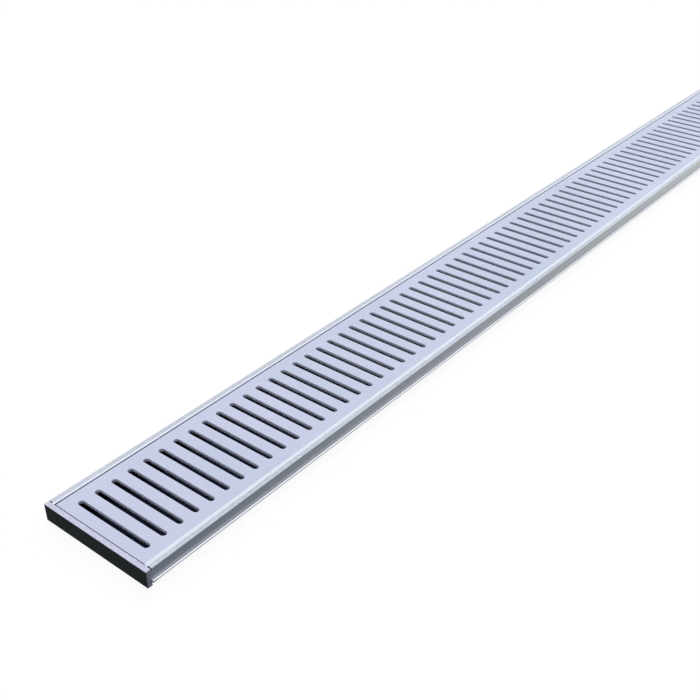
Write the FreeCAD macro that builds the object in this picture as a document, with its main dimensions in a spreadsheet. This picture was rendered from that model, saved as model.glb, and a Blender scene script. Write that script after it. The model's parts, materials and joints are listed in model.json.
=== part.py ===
import FreeCAD, Part
import os

import Sketcher
from FreeCAD import Placement, Rotation, Vector

# Shallow channel drain for a shower or patio floor: one extruded aluminium channel,
# a slotted grate that lies on its two inner ledges, and a plug-in cap at each end.
#
# Millimetres. X runs along the drain, Y across it and Z is up. The origin is under the
# middle of the drain, on the surface that it stands on.

# Driving dimensions, each written once: the cells of the sheet "Sizes".
sizes = {
    # whole drain
    "overallLength": 1200.0,      # over both end caps
    "overallWidth": 100.0,        # over the two outer walls
    "overallHeight": 14.0,
    # channel section
    "floorThickness": 1.6,
    "wallThickness": 1.6,
    "finUnderside": 3.0,          # height of the side fins above the standing surface
    "finThickness": 1.6,
    "finReach": 1.3,              # fin tip out from the outer wall
    "troughInset": 2.0,           # the wall below the fin stands in from the outer wall
    "rimWidth": 5.3,              # outer face of the wall to the inner edge of the rim
    "rimThickness": 1.9,
    "bevelWidth": 1.9,            # sloping band on the inner side of each rim
    "rimProud": 0.4,              # rim top above grate top
    "ledgeThickness": 1.4,
    "ledgeBearing": 3.1,          # width of ledge under each edge of the grate
    "rootRadius": 0.8,            # inside corners of the trough
    "edgeRadius": 0.3,            # outside edges of rims, fins and caps
    # cut-outs in the channel
    "outletDiameter": 80.0,
    "reliefLength": 0.9,          # notch across the flat of each rim, beside a cap
    "reliefDepth": 1.5,
    # grate
    "grateThickness": 3.0,
    "sideGap": 0.6,               # grate to rim, each side
    "endGap": 1.0,                # grate to cap, each end
    "slotWidth": 4.8,
    "slotLength": 68.7,           # tip to tip, across the drain
    "slotPitch": 14.23,
    "leastEndLand": 10.0,         # least distance from the plate's end to a slot's middle
    # end caps
    "capThickness": 3.8,
    "lugDepth": 8.0,
    "lugWidth": 13.0,
    "lugClearance": 0.15,         # lug to floor, ledge and inside corner
    "lugLead": 1.0,               # chamfer round the lug's leading end
}

# What follows from them: the cells of the sheet "Lines".
lines = {
    # distances from the middle plane, across the drain
    "wallOuter": "Sizes.overallWidth / 2",
    "wallInner": "wallOuter - Sizes.wallThickness",
    "finTip": "wallOuter + Sizes.finReach",
    "troughOuter": "wallOuter - Sizes.troughInset",
    "troughInner": "troughOuter - Sizes.wallThickness",
    "rimInner": "wallOuter - Sizes.rimWidth",
    "bevelCrest": "rimInner + Sizes.bevelWidth",
    "grateSide": "rimInner - Sizes.sideGap",
    "ledgeTip": "grateSide - Sizes.ledgeBearing",
    "slotStraight": "(Sizes.slotLength - Sizes.slotWidth) / 2",
    "lugOuter": "troughInner - Sizes.rootRadius - Sizes.lugClearance",
    "lugInner": "lugOuter - Sizes.lugWidth",
    # heights above the standing surface
    "floorTop": "Sizes.floorThickness",
    "finUnder": "Sizes.finUnderside",
    "finTop": "finUnder + Sizes.finThickness",
    "rimTop": "Sizes.overallHeight",
    "rimUnder": "rimTop - Sizes.rimThickness",
    "grateTop": "rimTop - Sizes.rimProud",
    "ledgeTop": "grateTop - Sizes.grateThickness",
    "ledgeUnder": "ledgeTop - Sizes.ledgeThickness",
    "lugUnder": "floorTop + Sizes.lugClearance",
    "lugTop": "ledgeUnder - Sizes.lugClearance",
    # distances from the middle of the drain, along it
    "channelEnd": "Sizes.overallLength / 2 - Sizes.capThickness",
    "reliefStart": "channelEnd - Sizes.reliefLength",
    "grateEnd": "channelEnd - Sizes.endGap",
    "slotSteps": "floor(2 * (grateEnd - Sizes.leastEndLand) / Sizes.slotPitch)",
    "endSlot": "slotSteps * Sizes.slotPitch / 2",
}

# Each round slot end is a run of equal flats, with corners on its circle.
slotEndFlats = 12
for corner in range(slotEndFlats + 1):
    turn = f"({corner} * 180 deg / {slotEndFlats})"
    lines[f"slotAlong{corner}"] = f"endSlot + Sizes.slotWidth / 2 * cos{turn}"
    lines[f"slotAcross{corner}"] = f"slotStraight + Sizes.slotWidth / 2 * sin{turn}"

closeEnough = 1e-4


def fillSheet(doc, name, cells):
    sheet = doc.addObject("Spreadsheet::Sheet", name)
    for row, (alias, content) in enumerate(cells.items(), start=1):
        sheet.set(f"A{row}", alias)
        sheet.set(f"B{row}", content)
        sheet.setAlias(f"B{row}", alias)


def makeSheets(doc):
    fillSheet(doc, "Sizes", {alias: str(size) for alias, size in sizes.items()})
    fillSheet(doc, "Lines", {alias: "=" + rule for alias, rule in lines.items()})
    doc.recompute()


# Sketching. A corner of an outline is a pair of names from the sheet "Lines", such as
# ("wallOuter", "rimTop"). "-name" is the same line on the other side of the axis, and
# "zero" is the axis itself. Every corner is tied to its two lines, so that an outline
# always follows the sheets.

def newBody(doc, label):
    body = doc.addObject("PartDesign::Body", label)
    body.Label = label
    return body


def originFeature(body, role):
    return next(item for item in body.Origin.OriginFeatures if item.Role == role)


def newSketch(body, name, plane):
    sketch = body.newObject("Sketcher::SketchObject", name)
    sketch.AttachmentSupport = [(originFeature(body, plane), "")]
    sketch.MapMode = "FlatFace"
    return sketch


def lineValue(sketch, line):
    if line == "zero":
        return 0.0
    value = sketch.Document.Lines.get(line.lstrip("-"))
    return -value if line.startswith("-") else value


def holdPoint(sketch, geometry, kind, line):
    # Ties the start of a straight edge to a line: "DistanceX" or "DistanceY".
    if line == "zero":
        axis = -2 if kind == "DistanceX" else -1
        sketch.addConstraint(Sketcher.Constraint("PointOnObject", geometry, 1, axis))
        return
    ends = [(-1, 1), (geometry, 1)]
    if line.startswith("-"):
        ends.reverse()
    distance = abs(lineValue(sketch, line))
    number = sketch.addConstraint(Sketcher.Constraint(kind, *ends[0], *ends[1], distance))
    sketch.setExpression(f"Constraints[{number}]", "Lines." + line.lstrip("-"))


def drawOutline(sketch, corners):
    points = [Vector(*(lineValue(sketch, line) for line in corner)) for corner in corners]
    edges = [
        sketch.addGeometry(Part.LineSegment(start, end))
        for start, end in zip(points, points[1:] + points[:1])
    ]
    for edge, following in zip(edges, edges[1:] + edges[:1]):
        sketch.addConstraint(Sketcher.Constraint("Coincident", edge, 2, following, 1))
    for edge, (first, second) in zip(edges, corners):
        holdPoint(sketch, edge, "DistanceX", first)
        holdPoint(sketch, edge, "DistanceY", second)


def drawRectangle(sketch, left, right, bottom, top):
    drawOutline(sketch, [(left, bottom), (right, bottom), (right, top), (left, top)])


def drawCircle(sketch, diameter):
    geometry = sketch.addGeometry(Part.Circle(Vector(), Vector(0, 0, 1), sizes[diameter] / 2))
    sketch.addConstraint(Sketcher.Constraint("Coincident", geometry, 3, -1, 1))
    number = sketch.addConstraint(Sketcher.Constraint("Diameter", geometry, sizes[diameter]))
    sketch.setExpression(f"Constraints[{number}]", "Sizes." + diameter)


# Features. Each one is computed at once, because the next may need its shape.

def padSketch(body, name, sketch, length, side="One side", backwards=False):
    pad = body.newObject("PartDesign::Pad", name)
    pad.Profile = sketch
    pad.SideType = side
    pad.Reversed = backwards
    pad.setExpression("Length", length)
    body.Document.recompute()
    return pad


def pocketThrough(body, name, sketch):
    pocket = newPocket(body, name, sketch)
    pocket.Type = "ThroughAll"
    pocket.SideType = "Symmetric"
    return finishPocket(body, pocket)


def pocketDown(body, name, sketch, depth):
    pocket = newPocket(body, name, sketch)
    pocket.setExpression("Length", depth)
    return finishPocket(body, pocket)


def newPocket(body, name, sketch):
    pocket = body.newObject("PartDesign::Pocket", name)
    pocket.Profile = sketch
    return pocket


def finishPocket(body, pocket):
    before = pocket.BaseFeature.Shape.Volume
    body.Document.recompute()
    if body.Shape.Volume >= before:
        raise RuntimeError(f"{pocket.Name} removes nothing")
    return pocket


def mirrorFeature(body, name, feature, plane):
    mirrored = body.newObject("PartDesign::Mirrored", name)
    mirrored.Originals = [feature]
    mirrored.MirrorPlane = (originFeature(body, plane), [""])
    body.Tip = mirrored
    body.Document.recompute()


def repeatAlong(body, name, feature, spacing, count):
    pattern = body.newObject("PartDesign::LinearPattern", name)
    pattern.Originals = [feature]
    pattern.Direction = (originFeature(body, "X_Axis"), [""])
    pattern.Mode = "Spacing"
    pattern.setExpression("Offset", spacing)
    pattern.setExpression("Occurrences", count)
    body.Tip = pattern
    body.Document.recompute()


def dressEdges(body, name, kind, setting, size, wanted):
    base = body.Tip
    names = [f"Edge{i}" for i, edge in enumerate(base.Shape.Edges, start=1) if wanted(edge)]
    dress = body.newObject("PartDesign::" + kind, name)
    dress.Base = (base, names)
    dress.setExpression(setting, size)
    body.Document.recompute()


def near(first, second):
    return abs(first - second) < closeEnough


def runsLengthwise(edge):
    if edge.Curve.TypeId != "Part::GeomLine":
        return False
    return near(abs(edge.Curve.Direction.x), 1.0)


# The channel is one extrusion. Half its section is drawn, from the middle of the floor
# out to the fin, up the wall, round the rim and back down inside.

halfSection = [
    ("zero", "zero"),
    ("troughOuter", "zero"),
    ("troughOuter", "finUnder"),
    ("finTip", "finUnder"),
    ("finTip", "finTop"),
    ("wallOuter", "finTop"),
    ("wallOuter", "rimTop"),
    ("bevelCrest", "rimTop"),
    ("rimInner", "grateTop"),
    ("rimInner", "rimUnder"),
    ("wallInner", "rimUnder"),
    ("wallInner", "ledgeTop"),
    ("ledgeTip", "ledgeTop"),
    ("ledgeTip", "ledgeUnder"),
    ("wallInner", "ledgeUnder"),
    ("wallInner", "finTop"),
    ("troughInner", "finTop"),
    ("troughInner", "floorTop"),
    ("zero", "floorTop"),
]

rootCorners = [("troughInner", "floorTop"), ("wallInner", "ledgeUnder")]
outerCorners = [("wallOuter", "rimTop"), ("finTip", "finTop"), ("finTip", "finUnder")]


def makeChannel(doc):
    body = newBody(doc, "channel")
    section = newSketch(body, "HalfSection", "YZ_Plane")
    drawOutline(section, halfSection)
    half = padSketch(body, "HalfChannel", section, "2 * Lines.channelEnd", side="Symmetric")
    mirrorFeature(body, "WholeChannel", half, "XZ_Plane")
    roundRuns(body, "RootFillets", rootCorners, "Sizes.rootRadius")
    roundRuns(body, "CornerFillets", outerCorners, "Sizes.edgeRadius")

    outlet = newSketch(body, "OutletCircle", "XY_Plane")
    drawCircle(outlet, "outletDiameter")
    pocketThrough(body, "Outlet", outlet)

    # a shallow notch across the flat of both rims at each end, beside the cap
    notches = newSketch(body, "ReliefRectangles", "XY_Plane")
    notches.setExpression("AttachmentOffset.Base.z", "Lines.rimTop")
    drawRectangle(notches, "reliefStart", "channelEnd", "bevelCrest", "wallOuter")
    drawRectangle(notches, "reliefStart", "channelEnd", "-wallOuter", "-bevelCrest")
    reliefs = pocketDown(body, "RimReliefs", notches, "Sizes.reliefDepth")
    mirrorFeature(body, "AllRimReliefs", reliefs, "YZ_Plane")
    return body


def roundRuns(body, name, places, radius):
    # Rounds the lengthwise edges at these places, on both sides of the middle plane.
    sheet = body.Document.Lines
    spots = [(sheet.get(across), sheet.get(up)) for across, up in places]

    def wanted(edge):
        middle = edge.CenterOfMass
        here = (abs(middle.y), middle.z)
        return runsLengthwise(edge) and any(
            near(here[0], across) and near(here[1], up) for across, up in spots
        )

    dressEdges(body, name, "Fillet", "Radius", radius, wanted)


# The grate is a flat plate with one row of round-ended slots. It is drawn with its
# underside at Z = 0 and placed on the ledges.

def slotOutline():
    corners = range(slotEndFlats + 1)
    farEnd = [(f"-slotAlong{i}", f"slotAcross{i}") for i in corners]
    nearEnd = [(f"-slotAlong{i}", f"-slotAcross{i}") for i in reversed(corners)]
    return farEnd + nearEnd


def makeGrate(doc):
    body = newBody(doc, "grate")
    plate = newSketch(body, "PlateOutline", "XY_Plane")
    drawRectangle(plate, "-grateEnd", "grateEnd", "-grateSide", "grateSide")
    padSketch(body, "Plate", plate, "Sizes.grateThickness")

    slot = newSketch(body, "SlotOutline", "XY_Plane")
    drawOutline(slot, slotOutline())
    endSlot = pocketThrough(body, "EndSlot", slot)
    repeatAlong(body, "Slots", endSlot, "Sizes.slotPitch", "Lines.slotSteps + 1")
    body.setExpression("Placement.Base.z", "Lines.ledgeTop")
    return body


# An end cap is a plate over the whole end of the channel, with two lugs that plug in
# between its floor and its ledges. It is drawn with the plate's inner face at X = 0, the
# plate outwards along +X and the lugs along -X.

def makeEndCap(doc, label, turn, place):
    body = newBody(doc, label)
    outline = newSketch(body, label + "_outline", "YZ_Plane")
    drawRectangle(outline, "-wallOuter", "wallOuter", "zero", "rimTop")
    padSketch(body, label + "_plate", outline, "Sizes.capThickness")
    outerFace = sizes["capThickness"]

    def isOuterEdge(edge):
        return near(edge.CenterOfMass.x, outerFace) or runsLengthwise(edge)

    dressEdges(body, label + "_rounds", "Fillet", "Radius", "Sizes.edgeRadius", isOuterEdge)

    lugs = newSketch(body, label + "_lug_outline", "YZ_Plane")
    drawRectangle(lugs, "lugInner", "lugOuter", "lugUnder", "lugTop")
    lug = padSketch(body, label + "_lug", lugs, "Sizes.lugDepth", backwards=True)
    mirrorFeature(body, label + "_lugs", lug, "XZ_Plane")
    leadingEnd = -sizes["lugDepth"]

    def isLeadingEdge(edge):
        return near(edge.CenterOfMass.x, leadingEnd)

    dressEdges(body, label + "_leads", "Chamfer", "Size", "Sizes.lugLead", isLeadingEdge)
    body.Placement = Placement(Vector(), Rotation(Vector(0, 0, 1), turn))
    body.setExpression("Placement.Base.x", place)
    return body


def checkModel(doc, bodies):
    for item in doc.Objects:
        if "Invalid" in item.State or "Error" in item.State:
            raise RuntimeError(f"{item.Name} did not build: {item.State}")
    for body in bodies:
        if body.Shape.isNull() or not body.Shape.isValid():
            raise RuntimeError(f"{body.Label} has no valid shape")
        if len(body.Shape.Solids) != 1:
            raise RuntimeError(f"{body.Label} is not one solid")


def main():
    doc = FreeCAD.newDocument("ChannelDrain")
    makeSheets(doc)
    bodies = [
        makeChannel(doc),
        makeGrate(doc),
        makeEndCap(doc, "near_end_cap", 180, "-Lines.channelEnd"),
        makeEndCap(doc, "far_end_cap", 0, "Lines.channelEnd"),
    ]
    doc.recompute()
    checkModel(doc, bodies)
    os.makedirs("parts", exist_ok=True)
    for body in bodies:
        body.Shape.exportStep(f"parts/{body.Label}.step")
        box = body.Shape.BoundBox
        print(f"{body.Label}: {box.XLength:.1f} x {box.YLength:.1f} x {box.ZLength:.1f} mm")


main()
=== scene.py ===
import json
import math

import bmesh
import bpy
from mathutils import Euler, Matrix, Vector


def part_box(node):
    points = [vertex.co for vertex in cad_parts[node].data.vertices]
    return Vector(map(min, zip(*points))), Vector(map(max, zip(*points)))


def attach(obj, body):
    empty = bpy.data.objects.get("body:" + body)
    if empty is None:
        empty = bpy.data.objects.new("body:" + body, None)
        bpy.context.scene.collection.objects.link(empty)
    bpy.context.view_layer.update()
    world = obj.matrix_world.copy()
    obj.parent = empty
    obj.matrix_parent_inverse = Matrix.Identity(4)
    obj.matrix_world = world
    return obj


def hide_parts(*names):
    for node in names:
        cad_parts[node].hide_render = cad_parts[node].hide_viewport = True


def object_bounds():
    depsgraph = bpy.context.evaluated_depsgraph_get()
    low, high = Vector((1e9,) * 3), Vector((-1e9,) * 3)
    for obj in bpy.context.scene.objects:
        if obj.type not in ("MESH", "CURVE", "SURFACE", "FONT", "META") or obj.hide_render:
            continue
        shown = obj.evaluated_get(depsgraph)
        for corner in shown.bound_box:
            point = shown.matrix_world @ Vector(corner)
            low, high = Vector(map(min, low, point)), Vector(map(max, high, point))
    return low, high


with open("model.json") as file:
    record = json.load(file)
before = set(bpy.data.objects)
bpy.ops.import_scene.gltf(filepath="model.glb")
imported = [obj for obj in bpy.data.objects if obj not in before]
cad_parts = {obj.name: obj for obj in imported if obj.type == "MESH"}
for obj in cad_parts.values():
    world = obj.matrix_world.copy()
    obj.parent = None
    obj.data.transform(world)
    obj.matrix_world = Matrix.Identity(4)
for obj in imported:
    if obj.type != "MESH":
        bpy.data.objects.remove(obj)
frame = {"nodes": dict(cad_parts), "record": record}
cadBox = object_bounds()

scene = bpy.context.scene
scene.view_settings.view_transform = "Standard"
print("frame loaded:", ", ".join(sorted(frame["nodes"])))

# in every dictionary lengths are in metres and angles in degrees, unless a note says otherwise

# the camera looks along the drain from above its near end
cameraSettings = {
    "place": (-0.8757, -0.4337, 0.4699),    # from the origin, under the middle of the drain
    "heading": -51.0,                       # about Z, 0 looks along +Y
    "dip": 32.88,                           # below the horizon
    "roll": -0.09,
    "lens": 53.19,                          # in millimetres, like the sensor
    "sensorWidth": 36,
    "clipStart": 0.02,
    "clipEnd": 40,
}


def makeCamera():
    settings = cameraSettings
    data = bpy.data.cameras.new("camera")
    data.sensor_width = settings["sensorWidth"]
    data.lens = settings["lens"]
    data.clip_start = settings["clipStart"]
    data.clip_end = settings["clipEnd"]
    camera = bpy.data.objects.new("camera", data)
    scene.collection.objects.link(camera)
    tilt = Euler((math.radians(90 - settings["dip"]), 0, math.radians(settings["heading"])))
    roll = Matrix.Rotation(math.radians(settings["roll"]), 4, "Z")
    camera.matrix_world = Matrix.Translation(settings["place"]) @ tilt.to_matrix().to_4x4() @ roll
    scene.camera = camera


makeCamera()
print("camera placed")


def newMaterial(name):
    material = bpy.data.materials.new(name)
    material.use_nodes = True
    tree = material.node_tree
    tree.nodes.clear()
    output = tree.nodes.new("ShaderNodeOutputMaterial")
    return material, tree, output


def setSocket(tree, socket, value):
    if isinstance(value, bpy.types.NodeSocket):
        tree.links.new(value, socket)
    else:
        socket.default_value = value


def addNode(tree, kind, inputs=None, family="ShaderNode", **settings):
    node = tree.nodes.new(family + kind)
    for name, value in settings.items():
        setattr(node, name, value)
    for name, value in (inputs or {}).items():
        setSocket(tree, node.inputs[name], value)
    return node


def addMath(tree, operation, *values):
    return addNode(tree, "Math", dict(enumerate(values)), operation=operation).outputs[0]


def multiply(tree, *values):
    product = values[0]
    for value in values[1:]:
        product = addMath(tree, "MULTIPLY", product, value)
    return product


def isAbove(tree, value, limit):
    return addMath(tree, "GREATER_THAN", value, limit)


def isBelow(tree, value, limit):
    return addMath(tree, "LESS_THAN", value, limit)


def between(tree, value, low, high):
    # 1 where the value lies between low and high, else 0
    return multiply(tree, isAbove(tree, value, low), isBelow(tree, value, high))


def either(tree, *masks):
    union = masks[0]
    for mask in masks[1:]:
        union = addMath(tree, "MAXIMUM", union, mask)
    return union


def fade(tree, value, start, end, startValue=0.0, endValue=1.0):
    # startValue up to start, endValue past end, and a straight run between them
    limits = {"From Min": start, "From Max": end, "To Min": startValue, "To Max": endValue}
    return addNode(tree, "MapRange", {"Value": value, **limits}).outputs[0]


def mixColours(tree, factor, first, second):
    node = tree.nodes.new("ShaderNodeMix")
    node.data_type = "RGBA"
    setSocket(tree, node.inputs[0], factor)
    setSocket(tree, node.inputs[6], first)
    setSocket(tree, node.inputs[7], second)
    return node.outputs[2]


def mixValues(tree, factor, first, second):
    node = tree.nodes.new("ShaderNodeMix")
    setSocket(tree, node.inputs[0], factor)
    setSocket(tree, node.inputs[2], first)
    setSocket(tree, node.inputs[3], second)
    return node.outputs[0]


# darkens the colour by the tone where the mask is set; used only for painted shade
def paintShade(tree, colour, mask, tone):
    darker = addNode(tree, "VectorMath", {0: colour, "Scale": tone}, operation="SCALE").outputs[0]
    return mixColours(tree, mask, colour, darker)


def srgb(red, green, blue):
    def linear(channel):
        share = channel / 255
        return share / 12.92 if share <= 0.04045 else ((share + 0.055) / 1.055) ** 2.4

    return (linear(red), linear(green), linear(blue), 1.0)


# one recipe for anodised aluminium: a clouded colour, a stretched grain and a fine tooth
# in the finishes below, grain and speckle counts are per metre
metalRecipe = {
    "cloudScale": 11.0,          # clouds per metre
    "cloudShare": 0.6,           # clouds against grain in what the speckle leaves
    "toneStart": 0.36,           # the shade gives way to the colour between these two
    "toneEnd": 0.64,
    "roughSpread": 0.12,         # how far the grain moves the roughness
    "toothDepth": 0.0002,
}


def makeGrain(tree, place, finish):
    scale = (finish["grainAlong"], finish["grainAcross"], finish["grainAcross"])
    stretched = addNode(tree, "Mapping", {"Vector": place, "Scale": scale}).outputs[0]
    return addNode(tree, "TexNoise", {"Vector": stretched, "Scale": 1.0, "Detail": 3.0}).outputs[0]


def makeTone(tree, place, grain, finish):
    recipe = metalRecipe
    clouds = {"Vector": place, "Scale": recipe["cloudScale"], "Detail": 3.0}
    cloud = addNode(tree, "TexNoise", clouds).outputs[0]
    speckles = {"Vector": place, "Scale": finish["speckle"], "Detail": 1.0}
    speckle = addNode(tree, "TexNoise", speckles).outputs[0]
    depth = finish["speckleDepth"]
    share = recipe["cloudShare"]
    blend = addMath(tree, "MULTIPLY", cloud, share * (1 - depth))
    blend = addMath(tree, "MULTIPLY_ADD", grain, (1 - share) * (1 - depth), blend)
    blend = addMath(tree, "MULTIPLY_ADD", speckle, depth, blend)
    spread = fade(tree, blend, recipe["toneStart"], recipe["toneEnd"])
    return mixColours(tree, spread, finish["shade"], finish["colour"])


def makeRough(tree, grain, finish):
    spread = metalRecipe["roughSpread"]
    return addMath(tree, "MULTIPLY_ADD", grain, spread, finish["roughness"] - spread / 2)


def closeMetal(tree, output, colour, rough, grain, bump, metallic=1.0, facing=None):
    tooth = {"Strength": bump, "Distance": metalRecipe["toothDepth"], "Height": grain}
    if facing is not None:
        tooth["Normal"] = addNode(tree, "VectorMath", {0: facing}, operation="NORMALIZE").outputs[0]
    shader = addNode(tree, "BsdfPrincipled", {
        "Base Color": colour,
        "Metallic": metallic,
        "Roughness": rough,
        "Normal": addNode(tree, "Bump", tooth).outputs[0],
    })
    tree.links.new(shader.outputs[0], output.inputs[0])


def dress(node, material):
    for slot in frame["nodes"][node].material_slots:
        slot.material = material


# both end caps
capFinish = {
    "colour": srgb(215, 217, 239),
    "shade": srgb(190, 192, 214),
    "roughness": 0.34,
    "grainAlong": 500,
    "grainAcross": 500,
    "speckle": 750,
    "speckleDepth": 0.6,
    "bump": 0.05,
    "endTone": 0.50,             # tones of painted shade on the upright faces, darker than the top
    "sideTone": 0.70,
    "topEdge": 0.00022,          # the bright top reaches this far down
    "flankEdge": 0.00015,        # each side begins this far in from its face
}


def makeCapMetal(name):
    # the metal is anodised; the top keeps its colour, and everything under its edge is darkened with
    # painted shade, the ends more than the sides
    finish = capFinish
    material, tree, output = newMaterial(name)
    place = addNode(tree, "TexCoord").outputs["Object"]
    axes = addNode(tree, "SeparateXYZ", {0: place}).outputs
    aside = addMath(tree, "ABSOLUTE", axes[1])
    grain = makeGrain(tree, place, finish)
    colour = makeTone(tree, place, grain, finish)
    under = isBelow(tree, axes[2], cadBox[1].z - finish["topEdge"])
    flank = isAbove(tree, aside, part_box("near_end_cap")[1].y - finish["flankEdge"])
    tone = mixValues(tree, flank, finish["endTone"], finish["sideTone"])
    colour = paintShade(tree, colour, under, tone)
    closeMetal(tree, output, colour, makeRough(tree, grain, finish), grain, finish["bump"])
    return material


capMetal = makeCapMetal("capMetal")
dress("near_end_cap", capMetal)
dress("far_end_cap", capMetal)
print("end caps finished")

channelFinish = {
    "colour": srgb(212, 217, 232),
    "shade": srgb(186, 191, 206),
    "roughness": 0.32,
    "grainAlong": 12,
    "grainAcross": 1400,
    "speckle": 750,
    "speckleDepth": 0.6,
    "bump": 0.06,
    "wallColour": srgb(200, 205, 217),      # the outer walls: evener than the rims, and duller as painted shade
    "wallEvenness": 0.75,        # how far the walls' speckle is smoothed out
    # painted shade over the outer walls
    "wallShadeTone": 0.93,
    "wallFootShade": 0.68,        # the walls' painted shade just above the fin, in the corner with it
    "wallRoughness": 0.2,
    "bandHighlightColour": srgb(234, 239, 252),      # a painted highlight on the sloping band inside each rim
    # a painted highlight on the fin's flat top
    "finHighlightColour": srgb(250, 251, 253),
    "finLean": 0.45,             # outward lean in the shine of the fin's flat top, as if rounded off
    # painted shade on the fin's upright outer edge
    "finEdgeShade": 0.84,
    "brightRoughness": 0.16,     # of the band and the fin's top
    "insideShadeColour": srgb(44, 49, 76),       # painted shade on the inner faces, near black under the slots
    "insideRoughness": 0.55,
}
# limits that part the channel's faces by height and by distance from its middle plane
channelZones = {
    "hair": 0.0001,              # a limit stands this far off a flat face
    "floorMiddle": 0.0008,       # halfway up the trough's floor
    "underFinTop": 0.0044,       # just under and just over the top of the fins
    "overFinTop": 0.0048,
    "footLow": 0.0055,           # the painted shade at the walls' foot fades out between these two
    "footHigh": 0.0090,
    "notchUnder": 0.0120,        # just below the rim, and so below the notch
    "insideTop": 0.0130,         # the inner walls carry painted shade up to here
    "bandBright": 0.0456,        # the band's painted highlight fades out between these two
    "bandEnd": 0.0465,
    "notchInner": 0.04663,       # where the flat of the rim begins
    "outerWall": 0.0470,         # outer wall from here out to its face, but for the inside
    "troughWall": 0.0472,        # halfway through the wall of the trough
    "upperWall": 0.0488,         # within the wall over the step
    "finShine": 0.0504,          # the fin's top carries its painted highlight from here to its tip
    "notchLength": 0.00095,      # a little past the notch, from the channel's end
}


def makeInsideMask(tree, aside, height, fromEnd):
    # where shade is painted inside: the trough, the shaft over it and the two notches at each end
    zones = channelZones
    rimTop = cadBox[1].z
    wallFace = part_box("near_end_cap")[1].y
    trough = multiply(
        tree,
        between(tree, height, zones["floorMiddle"], zones["overFinTop"]),
        isBelow(tree, aside, zones["troughWall"]),
    )
    shaft = multiply(
        tree,
        between(tree, height, zones["underFinTop"], zones["insideTop"]),
        isBelow(tree, aside, zones["upperWall"]),
    )
    notch = multiply(
        tree,
        between(tree, height, zones["notchUnder"], rimTop - zones["hair"]),
        isBelow(tree, fromEnd, zones["notchLength"]),
        between(tree, aside, zones["notchInner"], wallFace - zones["hair"]),
    )
    return either(tree, trough, shaft, notch)


def makeChannelMasks(tree, axes):
    zones = channelZones
    hair = zones["hair"]
    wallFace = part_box("near_end_cap")[1].y      # the caps are as wide as the outer walls
    fromEnd = addMath(tree, "SUBTRACT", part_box("channel")[1].x, addMath(tree, "ABSOLUTE", axes[0]))
    aside = addMath(tree, "ABSOLUTE", axes[1])
    height = axes[2]
    return {
        "outerWall": multiply(
            tree,
            isBelow(tree, height, cadBox[1].z - 2 * hair),
            between(tree, aside, zones["outerWall"], wallFace + hair),
        ),
        "finEdge": multiply(
            tree,
            isBelow(tree, height, zones["underFinTop"]),
            isAbove(tree, aside, wallFace + hair),
        ),
        "finTop": multiply(
            tree,
            between(tree, height, zones["underFinTop"], zones["overFinTop"]),
            isAbove(tree, aside, zones["finShine"]),
        ),
        "band": multiply(
            tree,
            isAbove(tree, height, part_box("grate")[1].z - hair),
            fade(tree, aside, zones["bandBright"], zones["bandEnd"], 1.0, 0.0),
        ),
        "inside": makeInsideMask(tree, aside, height, fromEnd),
    }


def leanFinTop(tree, finTop, across):
    outwards = addMath(tree, "MULTIPLY", addMath(tree, "SIGN", across), channelFinish["finLean"])
    leaning = addNode(tree, "CombineXYZ", {1: outwards, 2: 1.0}).outputs[0]
    level = addNode(tree, "NewGeometry").outputs["Normal"]
    return mixColours(tree, finTop, level, leaning)


def makeChannelMetal(name):
    # mottled rims with a painted highlight on the inner band, outer walls darkened with painted shade, a
    # painted highlight on the fin's top, and painted shade inside
    finish = channelFinish
    zones = channelZones
    material, tree, output = newMaterial(name)
    place = addNode(tree, "TexCoord").outputs["Object"]
    axes = addNode(tree, "SeparateXYZ", {0: place}).outputs
    masks = makeChannelMasks(tree, axes)
    grain = makeGrain(tree, place, finish)

    colour = makeTone(tree, place, grain, finish)
    evened = multiply(tree, masks["outerWall"], finish["wallEvenness"])
    wallShadeTone = fade(
        tree, axes[2], zones["footLow"], zones["footHigh"], finish["wallFootShade"], finish["wallShadeTone"]
    )
    colour = mixColours(tree, evened, colour, finish["wallColour"])
    # painted shade on the outer walls, deepest at their foot, and on the fin's edge
    colour = paintShade(tree, colour, masks["outerWall"], wallShadeTone)
    colour = paintShade(tree, colour, masks["finEdge"], finish["finEdgeShade"])
    # painted highlights on the band and the fin's top, then painted shade inside
    colour = mixColours(tree, masks["band"], colour, finish["bandHighlightColour"])
    colour = mixColours(tree, masks["finTop"], colour, finish["finHighlightColour"])
    colour = mixColours(tree, masks["inside"], colour, finish["insideShadeColour"])

    bright = either(tree, masks["band"], masks["finTop"])
    rough = makeRough(tree, grain, finish)
    rough = mixValues(tree, masks["outerWall"], rough, finish["wallRoughness"])
    rough = mixValues(tree, bright, rough, finish["brightRoughness"])
    rough = mixValues(tree, masks["inside"], rough, finish["insideRoughness"])

    facing = leanFinTop(tree, masks["finTop"], axes[1])
    closeMetal(tree, output, colour, rough, grain, finish["bump"], facing=facing)
    return material


dress("channel", makeChannelMetal("channelMetal"))
print("channel finished")

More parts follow.
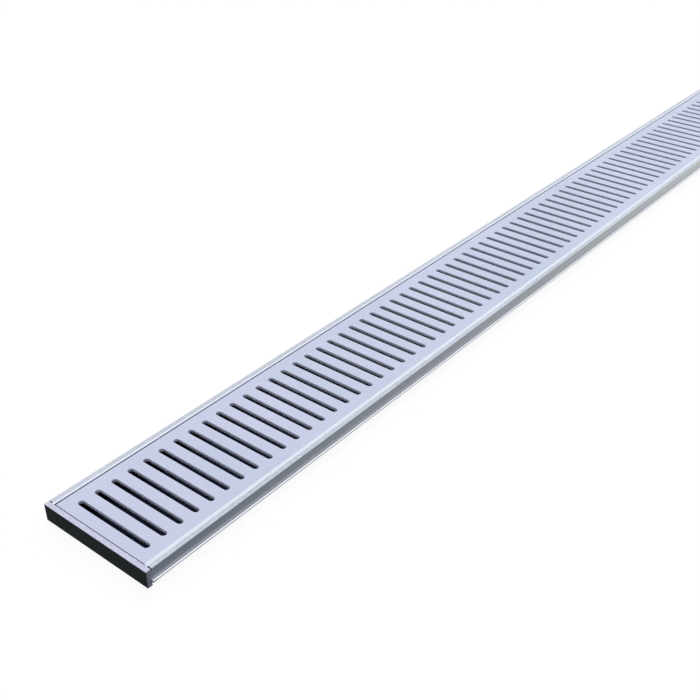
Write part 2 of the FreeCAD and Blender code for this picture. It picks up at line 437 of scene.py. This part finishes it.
# the grate is one cell with one slot, repeated along the drain, and a bare land at each end
grateShape = {
    "slotCount": 83,
    "slotPitch": 0.01423,
    "slotWidth": 0.0048,
    "slotLength": 0.0687,
    "arcSteps": 14,              # straight pieces in each rounded slot end
    "slotLip": 0.00022,          # rounding of the slot's upper edge
    "lipTurns": (0, 45, 90),     # where the rounding has its rings, from upright to level
    "chamferWidth": 0.0005,      # along the plate's long edges
    "chamferDrop": 0.0005,
    "weld": 0.00001,             # cells are joined where their corners are this close
}
grateFinish = {
    "colour": srgb(209, 211, 236),
    "shade": srgb(194, 204, 226),
    "roughness": 0.34,
    "grainAlong": 60,
    "grainAcross": 1500,
    "speckle": 2200,
    "speckleDepth": 0.25,
    "bump": 0.04,
    "edgeWidth": 0.00048,        # the painted highlight along each long edge, a hair narrower than the chamfer
    "edgeHighlightColour": srgb(244, 247, 255),
    "edgeRoughness": 0.2,
}
slotWallFinish = {
    "colour": srgb(194, 201, 232),
    "shade": srgb(172, 179, 212),
    "deepLitColour": srgb(252, 253, 255),      # painted light: the walls grow lighter towards the underside
    "metallic": 0.3,
    "roughness": 0.7,
    "grainAlong": 500,
    "grainAcross": 500,
    "speckle": 1800,
    "speckleDepth": 0.3,
    "bump": 0.08,
}


def makeGrateMetal(name):
    # brushed along the drain, with a painted highlight on the chamfer along both long edges
    finish = grateFinish
    material, tree, output = newMaterial(name)
    place = addNode(tree, "TexCoord").outputs["Object"]
    across = addNode(tree, "SeparateXYZ", {0: place}).outputs[1]
    aside = addMath(tree, "ABSOLUTE", across)
    grain = makeGrain(tree, place, finish)
    chamfer = isAbove(tree, aside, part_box("grate")[1].y - finish["edgeWidth"])
    colour = mixColours(tree, chamfer, makeTone(tree, place, grain, finish), finish["edgeHighlightColour"])
    rough = mixValues(tree, chamfer, makeRough(tree, grain, finish), finish["edgeRoughness"])
    closeMetal(tree, output, colour, rough, grain, finish["bump"])
    return material


def makeSlotWallMetal(name):
    finish = slotWallFinish
    low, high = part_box("grate")
    material, tree, output = newMaterial(name)
    place = addNode(tree, "TexCoord").outputs["Object"]
    height = addNode(tree, "SeparateXYZ", {0: place}).outputs[2]
    # painted light, growing towards the underside
    depth = fade(tree, height, high.z, low.z)
    grain = makeGrain(tree, place, finish)
    colour = mixColours(tree, depth, makeTone(tree, place, grain, finish), finish["deepLitColour"])
    rough = makeRough(tree, grain, finish)
    closeMetal(tree, output, colour, rough, grain, finish["bump"], finish["metallic"])
    return material


def keepMesh(name, mesh):
    data = bpy.data.meshes.new(name)
    mesh.to_mesh(data)
    mesh.free()
    return data


def slotRing(halfWidth, reach, steps):
    # outline of a slot, round at both ends, anticlockwise from the right end
    ring = []
    for end, start in ((1, 0.0), (-1, math.pi)):
        for step in range(steps + 1):
            angle = start + math.pi * step / steps
            ring.append((halfWidth * math.cos(angle), end * reach + halfWidth * math.sin(angle)))
    return ring


def plateSection(low, high):
    # one long side of the plate, from the underside up over the chamfer: (inset, height)
    shape = grateShape
    return [(0.0, low), (0.0, high - shape["chamferDrop"]), (shape["chamferWidth"], high)]


def addSlot(mesh, wall, low, high):
    # the slot's wall and its rounded lip, in rings from the underside up
    shape = grateShape
    halfWidth = shape["slotWidth"] / 2
    reach = shape["slotLength"] / 2 - halfWidth
    lip = shape["slotLip"]
    levels = [(halfWidth, low.z)]
    for angle in shape["lipTurns"]:
        turn = math.radians(angle)
        levels.append((halfWidth + lip * (1 - math.cos(turn)), high.z - lip * (1 - math.sin(turn))))

    rings = []
    for width, height in levels:
        outline = slotRing(width, reach, shape["arcSteps"])
        rings.append([mesh.verts.new((x, y, height)) for x, y in outline])
    count = len(rings[0])
    for below, above in zip(rings, rings[1:]):
        for index in range(count):
            after = (index + 1) % count
            face = mesh.faces.new((below[index], above[index], above[after], below[after]))
            face[wall] = below is rings[0]
            face.smooth = True
    return rings


def addLongSides(mesh, wall, low, high):
    # strips along the cell's two long sides, and the columns of corners at their ends
    halfPitch = grateShape["slotPitch"] / 2
    halfWidth = (high.y - low.y) / 2
    section = plateSection(low.z, high.z)
    columns = {}
    for side in (1, -1):
        for end in (1, -1):
            columns[end, side] = [
                mesh.verts.new((end * halfPitch, side * (halfWidth - inset), height))
                for inset, height in section
            ]
        one, two = columns[1, side], columns[-1, side]
        for step in range(len(section) - 1):
            corners = (one[step], one[step + 1], two[step + 1], two[step])
            face = mesh.faces.new(corners[::-1] if side > 0 else corners)
            face[wall] = step == 0
    return columns


def addSkin(mesh, wall, ring, corner, upward):
    # a flat face of the plate, between the slot's ring and the cell's four corners
    steps = grateShape["arcSteps"]
    middle = steps // 2
    arcs = {1: ring[:steps + 1], -1: ring[steps + 1:]}
    skins = []
    for side, arc in arcs.items():
        first, last = corner[side, side], corner[-side, side]
        for index in range(steps):
            apex = first if index < middle else last
            skins.append((arc[index], apex, arc[index + 1]))
        skins.append((arc[middle], first, last))
        skins.append((arcs[-side][-1], corner[side, -side], corner[side, side], arc[0]))
    for corners in skins:
        face = mesh.faces.new(corners if upward else corners[::-1])
        face[wall] = not upward


def makeCell(name, low, high):
    mesh = bmesh.new()
    wall = mesh.faces.layers.bool.new("slotWall")
    rings = addSlot(mesh, wall, low, high)
    columns = addLongSides(mesh, wall, low, high)
    for level, upward in ((-1, True), (0, False)):
        corner = {key: column[level] for key, column in columns.items()}
        addSkin(mesh, wall, rings[level], corner, upward)
    return keepMesh(name, mesh)


def makeEndLand(name, low, high):
    # the bare strip past the last slot, at the +X end, with its upper end edge broken
    shape = grateShape
    edge = shape["slotLip"]
    halfWidth = (high.y - low.y) / 2
    thickness = high.z - low.z
    start = shape["slotCount"] / 2 * shape["slotPitch"]
    section = plateSection(low.z, high.z)
    outline = [(inset - halfWidth, height) for inset, height in section]
    outline += [(halfWidth - inset, height) for inset, height in reversed(section)]

    mesh = bmesh.new()
    wall = mesh.faces.layers.bool.new("slotWall")
    loops = []
    for x, drop in ((start, 0.0), (high.x - edge, 0.0), (high.x, edge)):
        squeeze = 1 - drop / thickness
        loops.append([
            mesh.verts.new((x, y, low.z + (height - low.z) * squeeze))
            for y, height in outline
        ])
    count = len(outline)
    for near, far in zip(loops, loops[1:]):
        for index in range(count):
            after = (index + 1) % count
            face = mesh.faces.new((near[index], far[index], far[after], near[after]))
            face[wall] = index == count - 1
    mesh.faces.new(loops[-1][::-1])[wall] = True
    return keepMesh(name, mesh)


def addGeometryNode(tree, kind, inputs=None, **settings):
    return addNode(tree, kind, inputs, family="GeometryNode", **settings)


def makeRepeatTree(name):
    tree = bpy.data.node_groups.new(name, "GeometryNodeTree")
    sockets = {
        "Cell": "Geometry",
        "Slot Count": "Int",
        "Slot Pitch": "Float",
        "Weld Distance": "Float",
        "End Land": "Object",
        "Skin": "Material",
        "Slot Wall": "Material",
    }
    for label, kind in sockets.items():
        tree.interface.new_socket(label, in_out="INPUT", socket_type="NodeSocket" + kind)
    tree.interface.new_socket("Grate", in_out="OUTPUT", socket_type="NodeSocketGeometry")
    given = tree.nodes.new("NodeGroupInput").outputs

    gaps = addMath(tree, "SUBTRACT", given["Slot Count"], 1.0)
    start = multiply(tree, gaps, given["Slot Pitch"], -0.5)
    line = addGeometryNode(tree, "MeshLine", {
        "Count": given["Slot Count"],
        "Start Location": addNode(tree, "CombineXYZ", {"X": start}).outputs[0],
        "Offset": addNode(tree, "CombineXYZ", {"X": given["Slot Pitch"]}).outputs[0],
    }).outputs[0]
    cells = addGeometryNode(tree, "InstanceOnPoints", {
        "Points": line,
        "Instance": given["Cell"],
    }).outputs[0]

    landInfo = addGeometryNode(tree, "ObjectInfo", {"Object": given["End Land"]})
    land = landInfo.outputs["Geometry"]
    turned = addGeometryNode(tree, "Transform", {
        "Geometry": land,
        "Rotation": (0, 0, math.pi),
    }).outputs[0]
    joined = addGeometryNode(tree, "JoinGeometry")
    for part in (turned, land, cells):
        tree.links.new(part, joined.inputs[0])

    whole = addGeometryNode(tree, "RealizeInstances", {"Geometry": joined.outputs[0]}).outputs[0]
    merged = addGeometryNode(tree, "MergeByDistance", {
        "Geometry": whole,
        "Distance": given["Weld Distance"],
    }).outputs[0]
    skinned = addGeometryNode(tree, "SetMaterial", {
        "Geometry": merged,
        "Material": given["Skin"],
    }).outputs[0]
    marked = addGeometryNode(
        tree, "InputNamedAttribute", {"Name": "slotWall"}, data_type="BOOLEAN"
    ).outputs["Attribute"]
    walled = addGeometryNode(tree, "SetMaterial", {
        "Geometry": skinned,
        "Selection": marked,
        "Material": given["Slot Wall"],
    }).outputs[0]
    output = tree.nodes.new("NodeGroupOutput")
    tree.links.new(walled, output.inputs[0])
    return tree


def bakeTree(name, base, tree, values):
    # runs a node tree on a mesh and keeps the result as a plain mesh
    maker = bpy.data.objects.new(name + "Maker", base)
    scene.collection.objects.link(maker)
    modifier = maker.modifiers.new("repeat", "NODES")
    modifier.node_group = tree
    for item in tree.interface.items_tree:
        if item.in_out == "INPUT" and item.name in values:
            modifier[item.identifier] = values[item.name]
    evaluated = maker.evaluated_get(bpy.context.evaluated_depsgraph_get())
    data = bpy.data.meshes.new_from_object(evaluated)
    maker.modifiers.remove(modifier)
    bpy.data.objects.remove(maker)
    data.name = name
    piece = bpy.data.objects.new(name, data)
    scene.collection.objects.link(piece)
    return piece


def makeGrate():
    low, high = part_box("grate")
    land = bpy.data.objects.new("endLand", makeEndLand("endLand", low, high))
    scene.collection.objects.link(land)
    piece = bakeTree("slottedGrate", makeCell("grateCell", low, high), makeRepeatTree("repeatSlots"), {
        "Slot Count": grateShape["slotCount"],
        "Slot Pitch": grateShape["slotPitch"],
        "Weld Distance": grateShape["weld"],
        "End Land": land,
        "Skin": makeGrateMetal("grateMetal"),
        "Slot Wall": makeSlotWallMetal("slotWallMetal"),
    })
    bpy.data.objects.remove(land)
    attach(piece, "root")
    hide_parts("grate")
    box = [round(side, 4) for side in piece.dimensions]
    print("grate made:", len(piece.data.polygons), "faces, box", box)


makeGrate()

# the studio: a white floor and world, one lamp for the shadow, and cards that only the metal sees
studioSettings = {
    "ambient": 0.7,              # world light on the object; the backdrop itself is 1
    "keyStrength": 1.2,
    "keyHeight": 52,
    "keyHeading": 128,
    "keySpread": 25,
    "floorReach": 30,
    "floorPaint": 0.8,
    "floorOwnLight": 0.88,       # share of the floor's white that a shadow can't reach
    "floorGlow": 1.03,
    "floorInset": 0.0036,        # the floor's opening is inside the drain's box by this much
    "endReach": 0.30,            # how far the end cards reach past the ends
    "endLift": 0.0003,           # and how far they lie above the floor
    "endTone": srgb(50, 55, 49),
    "sideReach": 0.12,           # the side cards likewise
    "sideLift": 0.0002,
    "sideGap": 0.00385,          # white floor left beside the fins
    "cornerInset": 0.00125,      # beside a cap, whose side has no fin, the card reaches in this far
    "cornerLength": 0.009,
    "sideToneNear": srgb(126, 131, 136),
    "sideToneFar": srgb(255, 255, 242),
    "shadeLift": 0.0003,
    "shadeCorners": 64,
    "pipeShadeTone": srgb(26, 27, 34),
    "lowSky": (1.05, 1.10, 1.08, 1),         # what the metal sees near the horizon
    "skyStart": 0.3,             # plain white again between these heights, where straight up is 1
    "skyEnd": 0.53,
}
plainWhite = (1, 1, 1, 1)


def makeStage(name, corners, faces, material):
    mesh = bpy.data.meshes.new(name)
    mesh.from_pydata(corners, [], faces)
    mesh.materials.append(material)
    stageObject = bpy.data.objects.new(name, mesh)
    scene.collection.objects.link(stageObject)
    return stageObject


def addCard(corners, faces, alongs, asides, lift):
    # a flat rectangle between two places along the drain and two across it
    left, right = sorted(alongs)
    inner, outer = sorted(asides)
    first = len(corners)
    corners += [(left, inner, lift), (right, inner, lift), (right, outer, lift), (left, outer, lift)]
    faces.append(tuple(range(first, first + 4)))


def beyond(edge, distance):
    # past an edge on either side of the middle, or short of it for a negative distance
    return edge + math.copysign(1, edge) * distance


def showOnlyToMetal(card):
    card.visible_camera = False
    card.visible_diffuse = False
    card.visible_transmission = False
    card.visible_shadow = False


def closeGlow(tree, output, colour):
    glow = addNode(tree, "Emission", {"Color": colour})
    tree.links.new(glow.outputs[0], output.inputs[0])


def seenRays(tree):
    rays = addNode(tree, "LightPath").outputs
    return either(tree, rays["Is Camera Ray"], rays["Is Glossy Ray"], rays["Is Transmission Ray"])


def makeFloor():
    settings = studioSettings
    paintTone = settings["floorPaint"]
    material, tree, output = newMaterial("floorWhite")
    paint = addNode(tree, "BsdfDiffuse", {"Color": (paintTone, paintTone, paintTone, 1)})
    glow = addNode(tree, "Emission", {"Color": plainWhite, "Strength": settings["floorGlow"]})
    own = addMath(tree, "MULTIPLY", seenRays(tree), settings["floorOwnLight"])
    mixed = addNode(tree, "MixShader", {0: own, 1: paint.outputs[0], 2: glow.outputs[0]})
    tree.links.new(mixed.outputs[0], output.inputs[0])

    # open under the drain, where the two would lie in one plane
    reach, inset = settings["floorReach"], settings["floorInset"]
    corners = []
    for x, y in ((reach, reach), (cadBox[1].x - inset, cadBox[1].y - inset)):
        corners += [(-x, -y, 0), (x, -y, 0), (x, y, 0), (-x, y, 0)]
    faces = [(index, (index + 1) % 4, (index + 1) % 4 + 4, index + 4) for index in range(4)]
    makeStage("floor", corners, faces, material)


def makeEndCards():
    settings = studioSettings
    low, high = cadBox
    wide = high.y + settings["sideReach"]
    corners, faces = [], []
    for end in (low.x, high.x):
        alongs = (end, beyond(end, settings["endReach"]))
        addCard(corners, faces, alongs, (-wide, wide), settings["endLift"])
    material, tree, output = newMaterial("endCardBlack")
    closeGlow(tree, output, settings["endTone"])
    showOnlyToMetal(makeStage("endCards", corners, faces, material))


def makeSideCards():
    settings = studioSettings
    low, high = cadBox
    lift = settings["sideLift"]
    corners, faces = [], []
    for side in (low.y, high.y):
        near = beyond(side, settings["sideGap"])
        addCard(corners, faces, (low.x, high.x), (near, beyond(side, settings["sideReach"])), lift)
        for end in (low.x, high.x):
            alongs = (end, beyond(end, -settings["cornerLength"]))
            addCard(corners, faces, alongs, (beyond(side, -settings["cornerInset"]), near), lift)
    material, tree, output = newMaterial("sideCardGrey")
    place = addNode(tree, "TexCoord").outputs["Object"]
    along = addNode(tree, "SeparateXYZ", {0: place}).outputs[0]
    share = fade(tree, along, low.x, high.x)
    closeGlow(tree, output, mixColours(tree, share, settings["sideToneNear"], settings["sideToneFar"]))
    showOnlyToMetal(makeStage("sideCards", corners, faces, material))


def makeOutletShade():
    # dark discs as painted shade inside the waste pipe, seen through the outlet: one disc just over the
    # floor, one just under
    settings = studioSettings
    outlet = next(mount for mount in frame["record"]["mounts"] if mount["name"] == "outlet_hole")
    radius = outlet["dims"]["r_mm"] / 1000
    count, lift = settings["shadeCorners"], settings["shadeLift"]
    turns = [2 * math.pi * index / count for index in range(count)]
    corners = [(radius * math.cos(turn), radius * math.sin(turn), level)
               for level in (lift, -lift) for turn in turns]
    discs = [tuple(range(count)), tuple(range(count, 2 * count))]
    material, tree, output = newMaterial("outletDark")
    shade = addNode(tree, "BsdfDiffuse", {"Color": settings["pipeShadeTone"]})
    tree.links.new(shade.outputs[0], output.inputs[0])
    makeStage("outletShade", corners, discs, material)


def makeWorld():
    settings = studioSettings
    world = bpy.data.worlds.new("studio")
    scene.world = world
    world.use_nodes = True
    tree = world.node_tree
    tree.nodes.clear()
    ambient = addNode(tree, "Background", {"Color": plainWhite, "Strength": settings["ambient"]})
    direction = addNode(tree, "TexCoord").outputs["Generated"]
    height = addNode(tree, "SeparateXYZ", {0: direction}).outputs[2]
    climb = fade(tree, height, settings["skyStart"], settings["skyEnd"])
    sky = mixColours(tree, climb, settings["lowSky"], plainWhite)
    backdrop = addNode(tree, "Background", {"Color": sky, "Strength": 1.0})
    mixed = addNode(tree, "MixShader", {0: seenRays(tree), 1: ambient.outputs[0], 2: backdrop.outputs[0]})
    addNode(tree, "OutputWorld", {0: mixed.outputs[0]})


def makeKeyLamp():
    settings = studioSettings
    data = bpy.data.lights.new("keyLamp", "SUN")
    data.energy = settings["keyStrength"]
    data.angle = math.radians(settings["keySpread"])
    lamp = bpy.data.objects.new("keyLamp", data)
    tilt = math.radians(90 - settings["keyHeight"])
    lamp.rotation_euler = (tilt, 0, math.radians(settings["keyHeading"]))
    lamp.visible_glossy = False
    scene.collection.objects.link(lamp)


makeFloor()
makeEndCards()
makeSideCards()
makeOutletShade()
makeWorld()
makeKeyLamp()
print("studio made")
